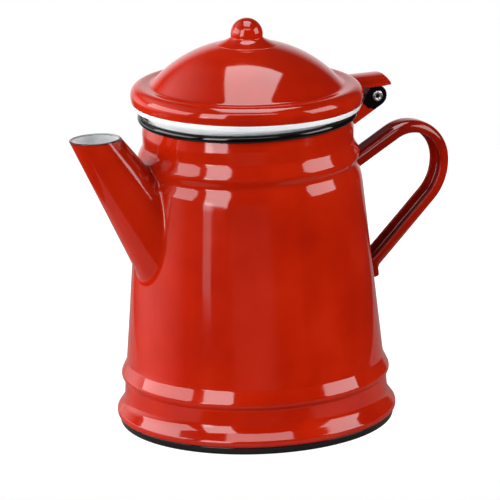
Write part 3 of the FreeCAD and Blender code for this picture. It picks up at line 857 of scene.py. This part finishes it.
def softbox(name, azimuth, elevation, size, radiance, share=1.0, spin=None, distance=1.1):
    # azimuth is counted from the camera's side of the pot; radiance is what its reflection shows,
    # and share is how much of that the grid on the box lets through as plain light
    away = viewDirection(look["azimuth"] + azimuth, elevation)
    if spin is None:
        side = Vector((0, 0, 1)).cross(away).normalized()
    else:
        # an overhead box is squared up to the camera and then turned
        side = viewDirection(look["azimuth"] + 90 + spin, 0)
        side = (side - away * side.dot(away)).normalized()
    facing = Matrix((side, away.cross(side), away)).transposed().to_4x4()
    # a box with no radiance of its own only washes, at its share
    for suffix, level in (("", radiance), ("Wash", (radiance or 1.0) * share)):
        if not level:
            continue
        lamp = bpy.data.lights.new(name + suffix, "AREA")
        lamp.shape = "RECTANGLE"
        lamp.size, lamp.size_y = size
        lamp.energy = level * math.pi * size[0] * size[1]
        holder = bpy.data.objects.new(name + suffix, lamp)
        place = away * distance + Vector((0, 0, look["lightAim"] * mm))
        holder.matrix_world = Matrix.Translation(place) @ facing
        holder.visible_glossy = not suffix
        holder.visible_diffuse = bool(suffix)
        scene.collection.objects.link(holder)


def makeFloor():
    # pale seamless paper that runs away behind the pot and ends just in front of it
    wide, deep = look["floorSize"]
    paper = bpy.data.materials.new("palePaper")
    paper.use_nodes = True
    tree = paper.node_tree
    tree.nodes.clear()
    place = addNode(tree, "ShaderNodeTexCoord").outputs["Object"]
    tooth = addNode(tree, "ShaderNodeTexNoise", {}, {
        "Vector": place, "Scale": 1 / (0.8 * mm), "Detail": 3.0})
    tone = addNode(tree, "ShaderNodeValToRGB", {}, {"Fac": tooth.outputs["Fac"]})
    tone.color_ramp.elements[0].color = linear("#7C7C7B")
    tone.color_ramp.elements[1].color = linear("#858584")
    relief = addNode(tree, "ShaderNodeBump", {}, {
        "Strength": 0.4, "Distance": 0.05 * mm, "Height": tooth.outputs["Fac"]})
    # the paper prints clean white, yet throws little light back at the pot
    path = addNode(tree, "ShaderNodeLightPath")
    shader = addNode(tree, "ShaderNodeBsdfPrincipled", {}, {
        "Base Color": tone.outputs["Color"], "Roughness": 0.9, "Normal": relief.outputs["Normal"],
        "Emission Color": (1.0, 1.0, 1.0, 1.0), "Emission Strength": path.outputs["Is Camera Ray"]})
    addNode(tree, "ShaderNodeOutputMaterial", {}, {"Surface": shader.outputs["BSDF"]})
    mesh = bpy.data.meshes.new("floor")
    back = viewDirection(look["azimuth"], 0)
    side = Vector((-back.y, back.x, 0))
    near, far = look["floorNear"], -deep
    corners = [side * -wide + back * near, side * wide + back * near, side * wide + back * far,
               side * -wide + back * far]
    mesh.from_pydata([tuple(c) for c in corners], [], [(0, 1, 2, 3)])
    mesh.materials.append(paper)
    floor = bpy.data.objects.new("floor", mesh)
    floor.location.z = -look["floorGap"] * mm
    scene.collection.objects.link(floor)


def makeWorld():
    # a white cove behind the pot, and a dim room on the side that the pot is looked at from
    world = bpy.data.worlds.new("studio")
    world.use_nodes = True
    tree = world.node_tree
    tree.nodes.clear()
    place = addNode(tree, "ShaderNodeTexCoord").outputs["Generated"]
    toward = viewDirection(look["azimuth"], 0)
    facing = addNode(tree, "ShaderNodeVectorMath", {"operation": "DOT_PRODUCT"}, {0: place, 1: tuple(toward)})
    dim = addNode(tree, "ShaderNodeMapRange", {"interpolation_type": "SMOOTHSTEP"}, {
        "Value": facing.outputs["Value"], "From Min": room["coveEdge"][0], "From Max": room["coveEdge"][1],
        "To Min": room["cove"], "To Max": room["dim"]})
    # a pale wall on the left, brighter towards the back
    left = viewDirection(look["azimuth"] - 90, 0)
    leftward = addNode(tree, "ShaderNodeVectorMath", {"operation": "DOT_PRODUCT"}, {0: place, 1: tuple(left)})
    onLeft = addNode(tree, "ShaderNodeMapRange", {"interpolation_type": "SMOOTHSTEP"}, {
        "Value": leftward.outputs["Value"], "From Min": 0.2, "From Max": 1.0, "To Min": 0.0, "To Max": 1.0})
    wall = addNode(tree, "ShaderNodeMapRange", {}, {
        "Value": facing.outputs["Value"], "From Min": room["wallEdge"][0], "From Max": room["wallEdge"][1],
        "To Min": room["wall"][0], "To Max": room["wall"][1]})
    onRight = addNode(tree, "ShaderNodeMapRange", {}, {
        "Value": leftward.outputs["Value"], "From Min": -0.9, "From Max": 0.0,
        "To Min": room["coveRight"], "To Max": 1.0})
    cove = addNode(tree, "ShaderNodeMath", {"operation": "MULTIPLY"}, {
        0: dim.outputs["Result"], 1: onRight.outputs["Result"]})
    # the wall shows about eye level, fades above it and comes back overhead
    height = addNode(tree, "ShaderNodeSeparateXYZ", {}, {"Vector": place}).outputs["Z"]
    eyeLevel = addNode(tree, "ShaderNodeMapRange", {}, {"Value": height, "From Min": -0.5, "From Max": 0.5})
    band = addNode(tree, "ShaderNodeValToRGB", {}, {"Fac": eyeLevel.outputs["Result"]})
    for at, level in room["wallBand"]:
        stop = band.color_ramp.elements.new(at)
        stop.color = (level, level, level, 1.0)
    panel = addNode(tree, "ShaderNodeMath", {"operation": "MULTIPLY"}, {
        0: wall.outputs["Result"], 1: band.outputs["Color"]})
    mirrored = addNode(tree, "ShaderNodeMath", {"operation": "MULTIPLY_ADD"}, {
        0: onLeft.outputs["Result"], 1: panel.outputs["Value"], 2: cove.outputs["Value"]})
    path = addNode(tree, "ShaderNodeLightPath")
    seen = addNode(tree, "ShaderNodeMath", {"operation": "MAXIMUM"}, {
        0: path.outputs["Is Camera Ray"], 1: mirrored.outputs["Value"]})
    ground = addNode(tree, "ShaderNodeBackground", {}, {
        "Color": (1.0, 1.0, 1.0, 1.0), "Strength": seen.outputs["Value"]})
    addNode(tree, "ShaderNodeOutputWorld", {}, {"Surface": ground.outputs["Background"]})
    scene.world = world


makeCamera()
# name, azimuth, elevation, (width, height) in metres, radiance, share
softbox("keyBox", -34, 19, (0.47, 0.81), 6.0, 1.06)          # the crisp tiles on the ribs
softbox("keyStrip", -42, 1.6, (0.20, 0.20), 2.4, 0.0)        # the streak that runs down the cone
softbox("keyStripLow", -43, 2.2, (0.15, 0.34), 1.3, 0.0)     # and its fading lower end
softbox("leftBox", -86, 21, (1.1, 0.54), 4.0, 2.9)
softbox("rightBox", 80, 21, (0.66, 0.60), 4.6, 2.25)
softbox("topBox", 95, 86.5, (0.56, 0.72), 5.5, 0.75, -7, 0.9)   # the pale window on the dome
softbox("frontTop", 2, 47, (0.95, 0.2), 3.6, 0.0)            # the long line on the lid's brim
softbox("frontWash", 0, -6, (0.8, 0.3), 0.0, 7.3)            # lifts the white ring under the lid
makeFloor()
makeWorld()
scene.view_settings.view_transform = "Standard"
print("studio ready")
